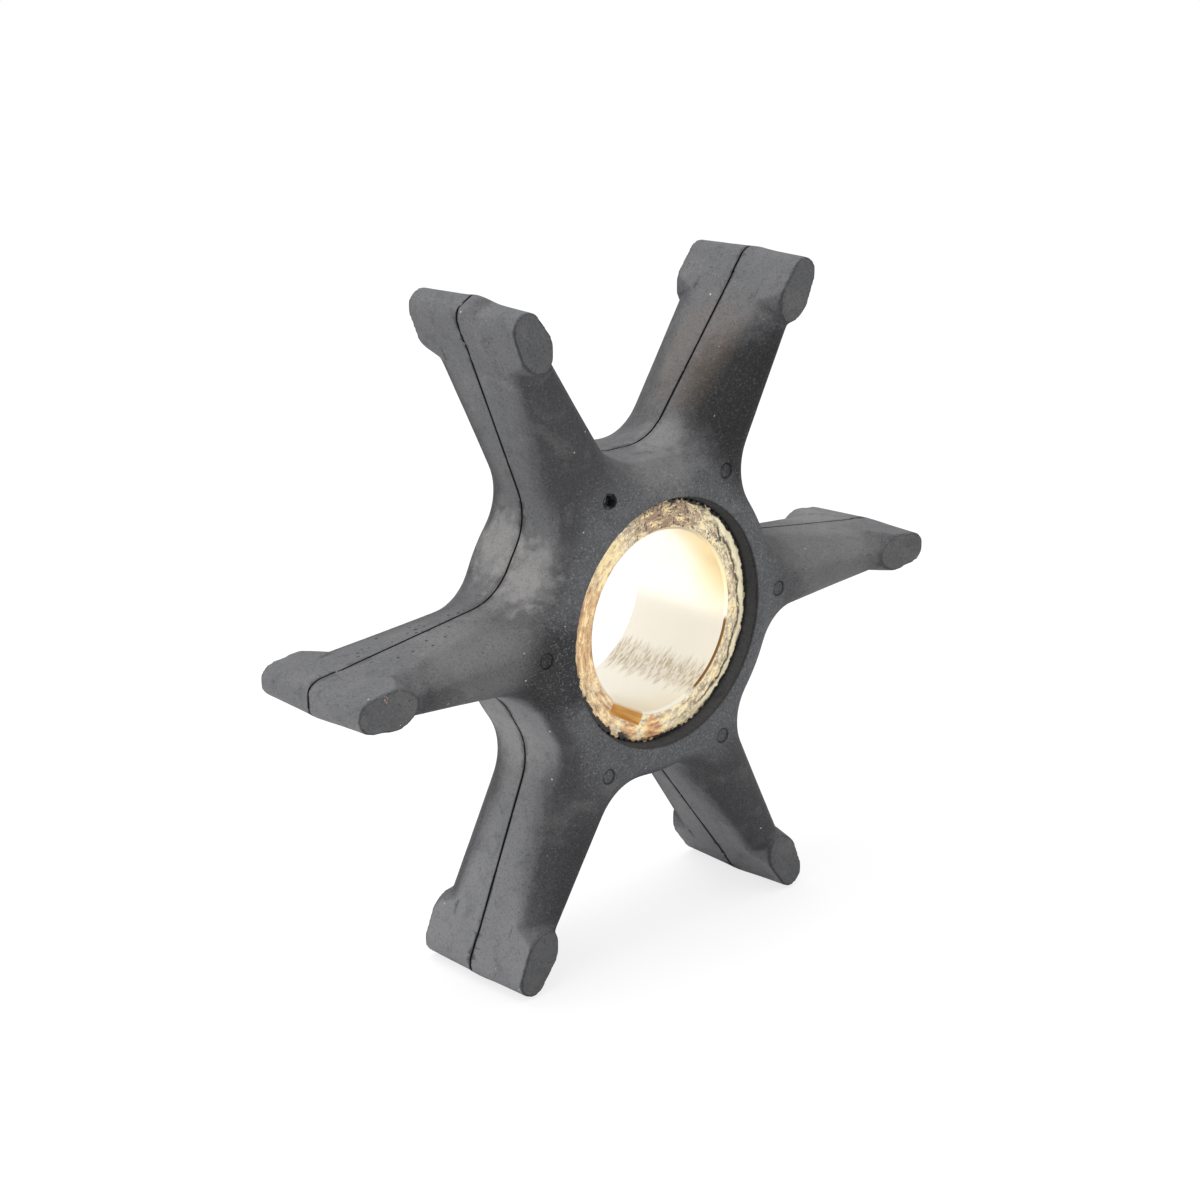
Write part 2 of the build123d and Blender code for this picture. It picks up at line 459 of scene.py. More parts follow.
def build_brass(settings):
    """Ring extruded round its section, closed, knurled, worn and cut for the key."""
    (radius, height), *loops = section_loops(settings)
    around = POINTS_PER_TOOTH * settings.teeth
    bpy.ops.mesh.primitive_circle_add(
        vertices=around, radius=radius, location=(0, height, 0), rotation=(pi / 2, 0, 0))
    piece = added("brass_bushing_turned")
    edit(piece, "SELECT")
    for next_radius, next_height in loops:
        scale = next_radius / radius
        bpy.ops.mesh.extrude_edges_move(
            TRANSFORM_OT_translate={"value": (0, next_height - height, 0)})
        bpy.ops.transform.resize(value=(scale, 1, scale), center_override=(0, next_height, 0))
        radius, height = next_radius, next_height
    bpy.ops.mesh.select_all(action="DESELECT")
    bpy.ops.mesh.select_mode(type="EDGE")
    leave_edit()
    last_ring = len(piece.data.vertices) - around
    for edge in piece.data.edges:
        edge.select = max(edge.vertices) < around or min(edge.vertices) >= last_ring
    bpy.ops.object.mode_set(mode="EDIT")
    bpy.ops.mesh.bridge_edge_loops()
    bpy.ops.mesh.select_all(action="SELECT")
    bpy.ops.mesh.normals_make_consistent(inside=False)
    leave_edit()
    knurl(piece, settings)
    wear_faces(piece, settings)
    cut_keyway(piece, settings)
    select_only(piece)
    bpy.ops.object.shade_smooth_by_angle(angle=SHARP_EDGE)
    return piece


def push_out(vertex, radius, reach):
    """Moves a point at a distance from the shaft axis outwards."""
    vertex.co.x *= 1 + reach / radius
    vertex.co.z *= 1 + reach / radius


def knurl(piece, settings):
    """Draws every other rib of points on the outside inwards."""
    rim = BRASS_HIGH.x
    for vertex in piece.data.vertices:
        radius = off_axis(vertex.co)
        share = smooth_step(rim - settings.bevel_width, rim, radius)
        phase = atan2(vertex.co.z, vertex.co.x) * settings.teeth
        push_out(vertex, radius, -settings.tooth_depth * share * (0.5 - 0.5 * cos(phase)))


def wear_faces(piece, settings):
    """Lumps and hollows in both end faces, and a ragged rim."""
    inner = settings.bore + settings.chamfer
    for vertex in piece.data.vertices:
        radius = off_axis(vertex.co)
        gap = min(vertex.co.y - BRASS_LOW.y, BRASS_HIGH.y - vertex.co.y)
        if radius < inner or gap > WORN_SHARE_OF_BEVEL * settings.bevel_depth:
            continue
        wear = settings.wear * smooth_step(inner, inner + WEAR_FADE, radius)
        lumps = LUMP_SHARE * abs(noise.noise(vertex.co / LUMP_WAVE))
        lumps += GRAIN_SHARE * noise.noise(vertex.co / GRAIN_WAVE)
        vertex.co.y += wear * lumps if vertex.co.y < 0 else -wear * lumps
        push_out(vertex, radius, RIM_SHARE * wear * noise.noise(vertex.co / RIM_WAVE))


def cut_keyway(piece, settings):
    """Cuts the keyway through the bushing's whole length."""
    angle = settings.keyway_angle
    bpy.ops.mesh.primitive_cube_add(
        size=1, location=turned(settings.keyway_floor - CUTTER_DEPTH / 2, 0, 0, angle),
        rotation=(0, -angle, 0), scale=(CUTTER_DEPTH, CUTTER_LENGTH, settings.key_width))
    cutter = added("key_cutter")
    apply_modifier(piece, "BOOLEAN", operation="DIFFERENCE", object=cutter, solver="EXACT")
    bpy.data.objects.remove(cutter)


# ---- material helpers

# Where a surface lies: its place and coordinates, its distance from the shaft axis, its
# angle round it in degrees, and how far it looks along the shaft and upwards
Surface = namedtuple("Surface", "place x y z radius angle facing upward")


def rgba(colour, strength=1.0):
    """Colour times a strength, with full alpha."""
    return (*(strength * part for part in colour), 1.0)


class Net:
    """Node tree, with a short method for each kind of step in the looks."""

    def __init__(self, tree):
        tree.nodes.clear()
        self.tree = tree

    def give(self, socket, value):
        """Feeds a socket from another one or with a plain value."""
        if isinstance(value, bpy.types.NodeSocket):
            self.tree.links.new(value, socket)
        else:
            socket.default_value = value

    def node(self, kind, inputs=None, **settings):
        """Adds a node, sets its settings, and sets or links its inputs."""
        made = self.tree.nodes.new(kind)
        for key, value in settings.items():
            setattr(made, key, value)
        for key, value in (inputs or {}).items():
            self.give(made.inputs[key], value)
        return made

    def maths(self, operation, first, second=0.0):
        """Result of a Math node."""
        return self.node("ShaderNodeMath", {0: first, 1: second}, operation=operation).outputs[0]

    def add(self, first, second):
        """Sum of two values."""
        return self.maths("ADD", first, second)

    def product(self, *factors):
        """Product of several values."""
        result = factors[0]
        for factor in factors[1:]:
            result = self.maths("MULTIPLY", result, factor)
        return result

    def reach(self, first, second):
        """Length of a line from its parts along two axes."""
        squares = self.add(self.product(first, first), self.product(second, second))
        return self.maths("SQRT", squares)

    def step(self, value, low, high):
        """0 at low, 1 at high, and an S between them; high may be below low."""
        return self.node("ShaderNodeMapRange", {"Value": value, "From Min": low, "From Max": high},
                         interpolation_type="SMOOTHSTEP").outputs["Result"]

    def window(self, value, low, high, soft):
        """1 between two limits, with soft edges."""
        return self.product(self.step(value, low - soft, low + soft),
                            self.step(value, high + soft, high - soft))

    def noise(self, place, scale, detail=3.0, roughness=0.5, distortion=0.0):
        """Noise between 0 and 1, at a scale in waves for each millimetre."""
        return self.node("ShaderNodeTexNoise", {
            "Vector": place, "Scale": scale, "Detail": detail, "Roughness": roughness,
            "Distortion": distortion}).outputs["Fac"]

    def blots(self, place, low, high, *waves):
        """Blots where noise goes from a low to a high value."""
        return self.step(self.noise(place, *waves), low, high)

    def wander(self, place, swing, *waves):
        """Noise that swings by half its swing to either side of 0."""
        return self.product(self.maths("SUBTRACT", self.noise(place, *waves), 0.5), swing)

    def vector(self, x, y, z=0.0):
        """Vector of three values."""
        return self.node("ShaderNodeCombineXYZ", {0: x, 1: y, 2: z}).outputs[0]

    def parts(self, vector):
        """The three values of a vector."""
        return self.node("ShaderNodeSeparateXYZ", {0: vector}).outputs

    def mix(self, share, first, second):
        """First colour where the share is 0, second where it is 1."""
        return self.node("ShaderNodeMix", {0: share, 6: first, 7: second},
                         data_type="RGBA").outputs[2]

    def paint(self, colour, over, *shares):
        """Colour with another laid over it by the product of the masks and strengths."""
        return self.mix(self.product(*shares), colour, over)

    def group(self, build, **values):
        """Output of a shared group, which is built the first time that it is asked for."""
        shared = bpy.data.node_groups.get(build.__name__) or build(build.__name__)
        return self.node("ShaderNodeGroup", values, node_tree=shared).outputs[0]

    def patch(self, place, centre, radius, softness, raggedness):
        """Mask of one soft, ragged patch."""
        return self.group(patch_group, Place=place, Centre=centre, Radius=radius,
                          Softness=softness, Raggedness=raggedness)

    def paint_patch(self, colour, over, place, patch, *shares):
        """Colour with another laid over it in a patch, whose last value is its strength."""
        *shape, strength = patch
        return self.paint(colour, over, self.patch(place, *shape), strength, *shares)


def new_material(name):
    """New material: its net, its shader and where its points lie."""
    material = bpy.data.materials.new(name)
    material.use_nodes = True
    net = Net(material.node_tree)
    shader = net.node("ShaderNodeBsdfPrincipled")
    net.surface = net.node("ShaderNodeOutputMaterial").inputs["Surface"]
    net.give(net.surface, shader.outputs[0])
    given = net.node("ShaderNodeTexCoord").outputs
    place = net.node("ShaderNodeVectorMath", {0: given["Object"], 3: 1 / MM},
                     operation="SCALE").outputs[0]
    x, y, z = net.parts(place)
    angle = net.product(net.maths("ARCTAN2", z, x), degrees(1))
    _, along, upward = net.parts(given["Normal"])
    facing = net.maths("ABSOLUTE", along)
    return material, net, shader, Surface(place, x, y, z, net.reach(x, z), angle, facing, upward)


def new_group(name, output, vectors, values):
    """Node group: its net, the vectors and values given to it, and the socket of its result."""
    net = Net(bpy.data.node_groups.new(name, "ShaderNodeTree"))
    new_socket = net.tree.interface.new_socket
    for labels, kind in ((vectors, "NodeSocketVector"), (values, "NodeSocketFloat")):
        for label in labels:
            new_socket(label, in_out="INPUT", socket_type=kind)
    new_socket(output, in_out="OUTPUT", socket_type="NodeSocketFloat")
    return net, net.node("NodeGroupInput").outputs, net.node("NodeGroupOutput").inputs[0]


def specks_group(name):
    """Round specks in cells of so many per millimetre, each keeping or dropping its own."""
    net, given, mask = new_group(name, "Mask", ["Place"], ["Cells", "Size", "Kept"])
    cell = net.node("ShaderNodeTexVoronoi", {"Vector": given["Place"], "Scale": given["Cells"]})
    draw = net.node("ShaderNodeSeparateColor", {0: cell.outputs["Color"]}).outputs
    kept = net.maths("LESS_THAN", draw[0], given["Kept"])
    size = net.product(given["Size"], net.add(draw[1], 0.3))
    near = net.maths("LESS_THAN", cell.outputs["Distance"], size)
    net.give(mask, net.product(kept, near))
    return net.tree


def patch_group(name):
    """Soft round patch about a point, with an edge broken up by noise."""
    net, given, mask = new_group(name, "Mask", ["Place", "Centre"],
                                 ["Radius", "Softness", "Raggedness"])
    away = net.node("ShaderNodeVectorMath", {0: given["Place"], 1: given["Centre"]},
                    operation="DISTANCE").outputs["Value"]
    away = net.add(away, net.wander(given["Place"], given["Raggedness"], 0.9, 4.0))
    low = net.maths("SUBTRACT", given["Radius"], given["Softness"])
    net.give(mask, net.step(away, given["Radius"], low))
    return net.tree


def grain_group(name):
    """Fine grain over soft lumps, each with so many waves per millimetre, as a height."""
    net, given, height = new_group(name, "Height", ["Place"], ["Grain", "Lumps", "Share"])
    grain = net.noise(given["Place"], given["Grain"], 3.0, 0.6)
    lumps = net.noise(given["Place"], given["Lumps"], 2.0)
    net.give(height, net.add(grain, net.product(lumps, given["Share"])))
    return net.tree


# ---- rubber material

# Colours of the grit, the finer powder, the dots on one pad and the brown tint
GRIT, POWDER, DOTS = (0.42, 0.41, 0.39, 1), (0.30, 0.29, 0.28, 1), (0.42, 0.27, 0.23, 1)
BROWN_TINT = (0.17, 0.125, 0.09, 1)

# Noises: waves per millimetre, detail, roughness and distortion.  Soft steps on a noise:
# start and end.  Blots: such a step, then its noise.
SMEARS, FINE, PAD_GRAIN = (0.28, 5.0, 0.62, 0.6), (4.5, 3.0, 0.8), (7.0, 2.0, 0.7)
SMEARED, SPECKLED, PORES = (0.48, 0.72), (0.54, 0.70), (0.46, 0.34)
DARK_SMEARS = (0.50, 0.70, 0.45, 5.0, 0.7, 0.3)
CREASE_SWING, CREASE_WAVES = 0.05, 1.2

# Soft steps on how far a surface looks along the shaft or upwards, and on distances from
# the shaft axis and heights in millimetres
HUB_FACING, HUB_RADIUS = (0.60, 0.95), (21.0, 15.0)
PAD_FACING, PAD_RADIUS = (0.90, 0.99), (32.0, 33.0)
# The steps on looking upwards and along the shaft pick the upward-facing rubber that gets painted
# light from above.
TOP_LIGHT_UPWARD, TOP_LIGHT_FACING, SIDE_FACING = (0.15, 0.75), (0.15, 0.45), (0.42, 0.10)
# The soft step on height and its strength make the vanes' sides lighter towards the bottom:
# painted light.
LOW_LIGHT_HEIGHT, LOW_LIGHT_STRENGTH = (4.0, -10.0), 1.45
FACE_HEIGHT, FRONT_HEIGHT, HUB_EDGE = (7.5, 7.35), (-6.0, -6.5), (14.0, 14.5)
RING_HALF, RING_SOFT, FLOOR_SOFT = 0.08, 0.07, 0.2

# Row of dots: start, end and softness on X and on Z, and a soft step on Y
DOTS_X, DOTS_Z, DOTS_Y = (-37.05, -36.65, 0.05), (-1.1, 1.7, 0.3), (-7.2, -7.4)

# Centre in millimetres, radius, softness, raggedness and strength of each pale place: dust,
# and painted light on the lower left valley, the hub's top and the noses of the left and right
# vanes
DUST_AND_LIGHT_PLACES = {
    "left_valley_front": (turned(17.3, 0.6, -2.6, radians(153)), 5.0, 4.0, 6.0, 0.50),
    "left_valley_back": (turned(17.6, -0.8, 2.6, radians(150)), 5.0, 4.0, 6.0, 0.46),
    "lower_left_valley": (turned(18.5, 2.0, 1.5, radians(210)), 6.5, 5.0, 4.0, 0.30),
    "top_valley": (turned(18.0, -4.0, -1.5, radians(90)), 4.0, 3.0, 4.0, 0.30),
    "right_tip_back": (turned(33.0, 3.0, 4.0, radians(0)), 8.0, 6.0, 4.0, 0.25),
    "hub_top": (turned(16.5, 0.0, -7.0, radians(90)), 5.0, 3.0, 4.0, 0.18),
    "left_nose": (turned(24.0, -2.0, -6.0, pi), 8.0, 5.0, 3.0, 0.20),
    "right_nose": (turned(26.0, 2.0, -6.0, 0.0), 9.0, 5.0, 3.0, 0.24),
}

# The same for the darker places, the brown tint and the torn mark, and for the pits,
# without a strength.  The darker places are painted shade on the noses of the upper right
# and lower left vanes, and a darker left side of the hub face; the torn mark gets a painted
# shadow.
NOSE_SHADE_AND_DARK_HUB = {
    "hub_left": (turned(15.0, 1.5, -7.2, pi), 6.5, 3.5, 3.0, 0.80),
    "upper_right_nose": (turned(24.0, -3.0, -6.0, VANE_PITCH), 10.5, 4.0, 3.0, 0.88),
    "lower_left_nose": (turned(27.0, 3.0, -6.0, 4 * VANE_PITCH), 8.0, 4.0, 3.0, 0.45),
}
BROWN_PLACE = (turned(27.0, 4.0, -1.0, VANE_PITCH), 9.0, 6.0, 5.0, 0.25)
TORN_MARK_SHADOW = (turned(16.4, 0.0, -7.0, radians(119)), 0.75, 0.2, 0.9, 0.9)
PITTED_PLACE = (turned(27.0, -4.0, 2.0, pi), 8.5, 3.0, 4.0)


def rubber_zones(net, at, settings):
    """Colour of clean rubber: dark rounded edges, greyer faces, dust on the sides and worn pads,
    with painted light making upward-facing rubber and the lower sides lighter.
    """
    dust_and_top_light = rgba(settings.side_colour)
    hub = net.product(net.step(at.facing, *HUB_FACING), net.step(at.radius, *HUB_RADIUS))
    side = net.step(at.facing, *SIDE_FACING)
    pad = net.product(net.step(at.facing, *PAD_FACING), net.step(at.radius, *PAD_RADIUS))
    colour = net.mix(hub, rgba(settings.nose_colour), rgba(settings.face_colour))
    # Painted light: the side colour laid over upward-facing rubber, which the lamp above lights.
    colour = net.paint(colour, dust_and_top_light, net.step(at.upward, *TOP_LIGHT_UPWARD),
                       net.step(at.facing, *TOP_LIGHT_FACING), 0.55)
    # Painted light: the sides lighter towards the bottom.
    sides = net.mix(net.step(at.z, *LOW_LIGHT_HEIGHT), dust_and_top_light, rgba(settings.side_colour, LOW_LIGHT_STRENGTH))
    colour = net.mix(side, colour, sides)
    return net.mix(pad, colour, rgba(settings.pad_colour)), side, hub, pad


def rubbed_dust(net, at, colour, settings, side, hub):
    """Smears, places of dust, pale places of painted light, darker places with painted shade, a
    brown tint and fine speckle over the clean rubber.
    """
    dust = rgba(settings.dust_colour)
    smear = net.noise(at.place, *SMEARS)
    colour = net.paint(colour, dust, net.step(smear, *SMEARED), 0.10)
    dark_smear = net.blots(at.place, *DARK_SMEARS)
    colour = net.paint(colour, rgba(settings.face_colour, 0.45), dark_smear, 0.30)
    # Painted shade on two noses, and a darker left side of the hub face.
    for patch in NOSE_SHADE_AND_DARK_HUB.values():
        colour = net.paint_patch(colour, rgba(settings.nose_colour, 0.4), at.place, patch)
    # Pale patches: dust, and painted light on the lower left valley, the hub's top and two noses.
    for patch in DUST_AND_LIGHT_PLACES.values():
        colour = net.paint_patch(colour, dust, at.place, patch)
    colour = net.paint_patch(colour, BROWN_TINT, at.place, BROWN_PLACE, side)
    fine = net.noise(at.place, *FINE)
    colour = net.paint(colour, dust, net.step(fine, *SPECKLED), 0.30, net.add(hub, 0.55))
    return net.paint(colour, rgba(settings.line_colour), net.step(fine, *PORES), 0.4), smear


def rubber_specks(net, at, colour):
    """Pale grit, in two sizes, and a short row of dots on one pad."""
    grit = net.group(specks_group, Place=at.place, Cells=0.62, Size=0.055, Kept=0.22)
    powder = net.group(specks_group, Place=at.place, Cells=1.7, Size=0.10, Kept=0.10)
    dots = net.group(specks_group, Place=at.place, Cells=3.6, Size=0.38, Kept=0.75)
    row = net.product(net.window(at.x, *DOTS_X), net.window(at.z, *DOTS_Z),
                      net.step(at.y, *DOTS_Y))
    colour = net.paint(colour, GRIT, grit)
    colour = net.paint(colour, POWDER, powder, 0.5)
    return net.paint(colour, DOTS, row, dots, 0.8)


def mould_crease(net, at, colour, settings):
    """Painted shade: black along the bottom of the crease between the mould's halves."""
    away = net.maths("ABSOLUTE", net.add(at.y, net.wander(at.place, CREASE_SWING, CREASE_WAVES)))
    half = settings.line_width / MM / 2
    return net.paint(colour, rgba(settings.line_colour), net.step(away, 1.5 * half, 0.9 * half),
                     net.step(at.radius, *HUB_EDGE))


def dark_hollows(net, at, colour, settings):
    """Painted shade: black on the wall of the recess round the bushing, and dark rings and floors
    in the pin marks.
    """
    black = rgba(settings.line_colour)
    seat = BRASS_HIGH.x / MM
    # Painted shade on the wall of the recess round the bushing.
    colour = net.paint(colour, black, net.step(at.radius, seat + 0.85, seat + 0.15),
                       net.step(net.maths("ABSOLUTE", at.y), *FACE_HEIGHT), 0.6)
    pitch = degrees(VANE_PITCH)
    folded = net.maths("FLOORED_MODULO", net.add(at.angle, pitch / 2), pitch)
    folded = net.product(net.maths("SUBTRACT", folded, pitch / 2), radians(1))
    across = net.product(at.radius, net.maths("SINE", folded))
    along = net.product(at.radius, net.maths("COSINE", folded))
    away = net.reach(across, net.maths("SUBTRACT", along, settings.mark_circle / MM))
    rim = settings.mark_diameter / MM / 2
    # Painted shade in the rings and floors of the pin marks.
    ring = net.product(net.window(away, rim - RING_HALF, rim + RING_HALF, RING_SOFT), 0.70)
    floor = net.product(net.step(away, rim, rim - FLOOR_SOFT), 0.15)
    colour = net.paint(colour, black, net.maths("MAXIMUM", ring, floor),
                       net.step(at.y, *FRONT_HEIGHT))
    # Painted shadow: black in the torn pin mark.
    return net.paint_patch(colour, black, at.place, TORN_MARK_SHADOW)


def rubber_material(settings):
    """Black moulded rubber, with small pits on the top of the left vane, and painted light and
    shade.
    """
    material, net, shader, at = new_material("black_rubber_skin")
    colour, side, hub, pad = rubber_zones(net, at, settings)
    colour, smear = rubbed_dust(net, at, colour, settings, side, hub)
    colour = rubber_specks(net, at, colour)
    pits = net.group(specks_group, Place=at.place, Cells=1.5, Size=0.26, Kept=0.45)
    pits = net.product(pits, net.patch(at.place, *PITTED_PLACE), side)
    colour = net.paint(colour, rgba(settings.line_colour), pits, 0.6)
    colour = mould_crease(net, at, colour, settings)
    net.give(shader.inputs["Base Color"], dark_hollows(net, at, colour, settings))
    shader.inputs["Specular IOR Level"].default_value = 0.08
    rough = net.node("ShaderNodeMapRange", {"Value": smear, "To Min": 0.62, "To Max": 0.82})
    net.give(shader.inputs["Roughness"], rough.outputs[0])
    height = net.group(grain_group, Place=at.place, Grain=3.5, Lumps=0.6, Share=2.0)
    height = net.add(height, net.product(net.noise(at.place, *PAD_GRAIN), pad))
    height = net.maths("SUBTRACT", height, net.product(pits, 2.0))
    bump = net.node("ShaderNodeBump", {"Height": height, "Strength": 1.0, "Distance": 0.06 * MM})
    net.give(shader.inputs["Normal"], bump.outputs[0])
    return material


# ---- brass material

# Colours of the strokes, the warm edge and the painted brown reflection at the mouth of the bore,
# and of pale varnish
STROKE, WARM_EDGE = (0.46, 0.36, 0.22, 1), (0.90, 0.72, 0.38, 1)
MOUTH_REFLECTION, PALE_VARNISH = (0.22, 0.11, 0.03, 1), (0.84, 0.54, 0.20, 1)

# Noises, soft steps and blots as for the rubber.  Wandering edges: swing, then the noise.
STREAKS, TURNING, BARE, DULL = (1.0, 5.0, 0.7), (1.5, 4.0, 0.7), (0.50, 0.60), (0.47, 0.38)
MOTTLE, CRUST = (0.40, 0.62, 1.3, 5.0, 0.75, 0.8), (0.535, 0.58, 2.3, 5.0, 0.78, 1.2)
BROKEN, PRESENT, PALE = (0.38, 0.46, 1.3, 3.0), (0.42, 0.50, 0.55, 2.0), (0.4, 0.65, 1.0, 4.0)
STROKES, STROKE_EDGE = (0.44, 0.60, 1.3, 4.0, 0.7), (26.0, 0.5, 3.0)
CRESCENT_PATH, RAGGED_RIM = (2.4, 0.45, 3.0), (1.2, 1.4, 4.0, 0.7)

# Start, end and softness of spans round the axis, in degrees
TOP_CRUST, RIGHT_CRUST, RIGHT_RIM = (35.0, 110.0, 18.0), (-60.0, 20.0, 15.0), (-62.0, 52.0, 8.0)
# The third span on the next line places the painted brown reflection in the bore's mouth.
STROKE_BAND, WARM_BAND, MOUTH_REFLECTION_BAND = (-64.0, -44.0, 5.0), (0.0, 62.0, 18.0), (-60.0, -11.0, 2.0)

# The same for distances from the shaft axis, in millimetres, then soft steps in the same
# measures
# The seam, the crescent and the black rim below are painted shade, a painted highlight and a
# painted shadow.
SEAM_SHADE, CRESCENT = (11.1, 11.45, 0.12), (11.60, 12.30, 0.15)
RIM_SHADOW, ROOTS, FLASH, LEFT = (12.30, 12.42), (12.22, 12.32), (11.95, 12.02), (100.0, 120.0)

# Colour, centre in millimetres, radius, softness, raggedness and strength of each stain
FACE_STAINS = {
    "left": ("tan_colour", (-10.8, -6.2, 1.0), 8.0, 5.0, 4.0, 0.85),
    "lower_left": ("tan_colour", (-8.5, -6.2, -7.5), 4.5, 3.0, 4.0, 0.6),
    "upper_left": ("gold_colour", (-7.4, -6.2, 8.2), 3.0, 2.0, 4.0, 0.7),
    "top": ("brown_colour", (0.5, -6.2, 11.4), 6.5, 4.5, 4.0, 0.75),
    "below_key": ("copper_colour", (-1.3, -6.2, -11.6), 2.2, 1.2, 4.0, 0.8),
    "rim_below": ("copper_colour", (-5.0, -6.2, -11.4), 2.4, 1.6, 4.0, 0.7),
}


def face_colour(net, at, settings):
    """Scaled, stained and worn end face."""
    colour = net.mix(net.blots(at.place, *MOTTLE), rgba(settings.scale_colour),
                     rgba(settings.pale_colour))
    for stain, *patch in FACE_STAINS.values():
        colour = net.paint_patch(colour, rgba(getattr(settings, stain)), at.place, patch)
    along = net.vector(net.product(at.radius, 2.0), net.product(at.angle, 0.10))
    streak = net.noise(along, *STREAKS)
    colour = net.paint(colour, rgba(settings.gold_colour), net.step(streak, *BARE), 0.85)
    colour = net.paint(colour, rgba(settings.brown_colour), net.step(streak, *DULL), 0.70)
    crusted = net.add(0.30, net.window(at.angle, *TOP_CRUST))
    crusted = net.add(crusted, net.product(net.window(at.angle, *RIGHT_CRUST), 0.20))
    crust = net.blots(at.place, *CRUST)
    colour = net.paint(colour, rgba(settings.crust_colour), crust, crusted, 0.9)
    return rim_colour(net, at, colour, settings)


def rim_colour(net, at, colour, settings):
    """On the right of the bevel, painted shade in a dark seam, a painted highlight on a bright
    crescent and a painted shadow at the outer rim; black in the knurl's roots.
    """
    crust = rgba(settings.crust_colour)
    right = net.window(at.angle, *RIGHT_RIM)
    path = net.add(at.radius, net.wander(at.place, *CRESCENT_PATH))
    # Painted shade: the dark seam inside the crescent.
    colour = net.paint(colour, crust, net.window(path, *SEAM_SHADE), right,
                       net.blots(at.place, *BROKEN), 0.9)
    # Painted highlight: the bright crescent on the right of the bevel.
    colour = net.paint(colour, rgba(settings.bright_colour), net.window(path, *CRESCENT), right,
                       0.95)
    edge = net.add(at.radius, net.wander(at.place, *RAGGED_RIM))
    # Painted shadow: black at the outer rim on the right.
    colour = net.paint(colour, crust, net.step(edge, *RIM_SHADOW), right)
    present = net.blots(at.place, *PRESENT)
    root = net.product(net.step(edge, *ROOTS), present)
    left = net.step(net.maths("ABSOLUTE", at.angle), *LEFT)
    flash = net.product(net.step(edge, *FLASH), left, present)
    return net.paint(colour, crust, net.maths("MAXIMUM", root, flash))


def bore_colour(net, at, settings):
    """Turned bore: near white, with a band of short dark strokes, a warmer front edge and a
    painted brown reflection in the mouth chamfer on one side.
    """
    stretched = net.vector(net.product(at.y, 3.2), net.product(at.angle, 0.10))
    strokes = net.blots(stretched, *STROKES)
    colour = net.paint(rgba(settings.bore_colour), rgba(settings.gold_colour), strokes, 0.12)
    edge = net.add(at.angle, net.wander(stretched, *STROKE_EDGE))
    colour = net.paint(colour, STROKE, net.window(edge, *STROKE_BAND), net.add(0.35, strokes),
                       0.62)
    colour = net.paint(colour, WARM_EDGE, net.window(at.angle, *WARM_BAND),
                       net.step(at.y, 0.0, -5.0), 0.8)
    bore = settings.bore / MM
    # Painted reflection: a brown band in the mouth chamfer.
    return net.paint(colour, MOUTH_REFLECTION, net.step(at.radius, bore + 0.03, bore + 0.07),
                     net.window(at.angle, *MOUTH_REFLECTION_BAND))


def brass_material(settings):
    """Brass: bright turned bore, tarnished and scaled end face, varnished keyway, with painted
    light and shade on the bevel and a painted reflection at the bore's mouth.
    """
    material, net, shader, at = new_material("tarnished_brass")
    bore, floor = settings.bore / MM, settings.keyway_floor / MM
    mouth = bore + settings.chamfer / MM
    in_bore = net.step(at.radius, mouth + 0.05, mouth - 0.05)
    in_key = net.product(
        net.step(at.facing, 0.5, 0.2), net.step(at.radius, bore + 0.12, bore + 0.22),
        net.step(at.radius, floor + 1.2, floor + 0.8))
    colour = net.mix(in_bore, face_colour(net, at, settings), bore_colour(net, at, settings))
    streaks = net.vector(net.product(at.x, 3.0), net.product(at.y, 0.25), net.product(at.z, 3.0))
    varnish = net.mix(net.blots(streaks, *PALE), rgba(settings.key_colour), PALE_VARNISH)
    net.give(shader.inputs["Base Color"], net.mix(in_key, colour, varnish))
    net.give(shader.inputs["Metallic"], net.add(0.25, net.product(in_bore, 0.60)))
    net.give(shader.inputs["Roughness"], net.maths("SUBTRACT", 0.50, net.product(in_bore, 0.22)))
    turning = net.noise(net.vector(net.product(at.y, 4.0), net.product(at.angle, 0.02)), *TURNING)
    lump = net.group(grain_group, Place=at.place, Grain=3.5, Lumps=0.9, Share=2.0)
    height = net.node("ShaderNodeMix", {0: in_bore, 2: lump, 3: net.product(turning, 0.5)},
                      data_type="FLOAT").outputs[0]
    bump = net.node("ShaderNodeBump", {"Height": height, "Strength": 0.5, "Distance": 0.05 * MM})
    net.give(shader.inputs["Normal"], bump.outputs[0])
    return material


# ---- stage

# Place, edge in metres and setting of the watts of each lamp
LAMPS = {
    "light_top": ((-0.10, 0.10, 0.55), 0.45, "top_light"),
    "light_left": ((-0.50, 0.05, 0.25), 0.40, "left_light"),
}

# The floor's glow near the piece and far away, and the distances between which it changes
NEAR_GLOW, FAR_GLOW, GLOW_START, GLOW_END = 0.75, 1.0, 200.0, 700.0


def floor_material(settings):
    """Pale floor that shows white to the camera and keeps part of its shadow."""
    material, net, shader, at = new_material("pale_floor")
    shader.inputs["Base Color"].default_value = rgba(settings.floor_colour)
    shader.inputs["Roughness"].default_value = 0.9
    away = net.node("ShaderNodeVectorMath", {0: at.place}, operation="LENGTH").outputs["Value"]
    share = net.node("ShaderNodeMapRange", {
        "Value": away, "From Min": GLOW_START, "From Max": GLOW_END,
        "To Min": NEAR_GLOW, "To Max": FAR_GLOW}).outputs[0]
    glow = net.node("ShaderNodeEmission", {"Strength": 1.0}).outputs[0]
    seen = net.product(net.node("ShaderNodeLightPath").outputs["Is Camera Ray"], share)
    mix = net.node("ShaderNodeMixShader", {0: seen, 1: shader.outputs[0], 2: glow})
    net.give(net.surface, mix.outputs[0])
    return material


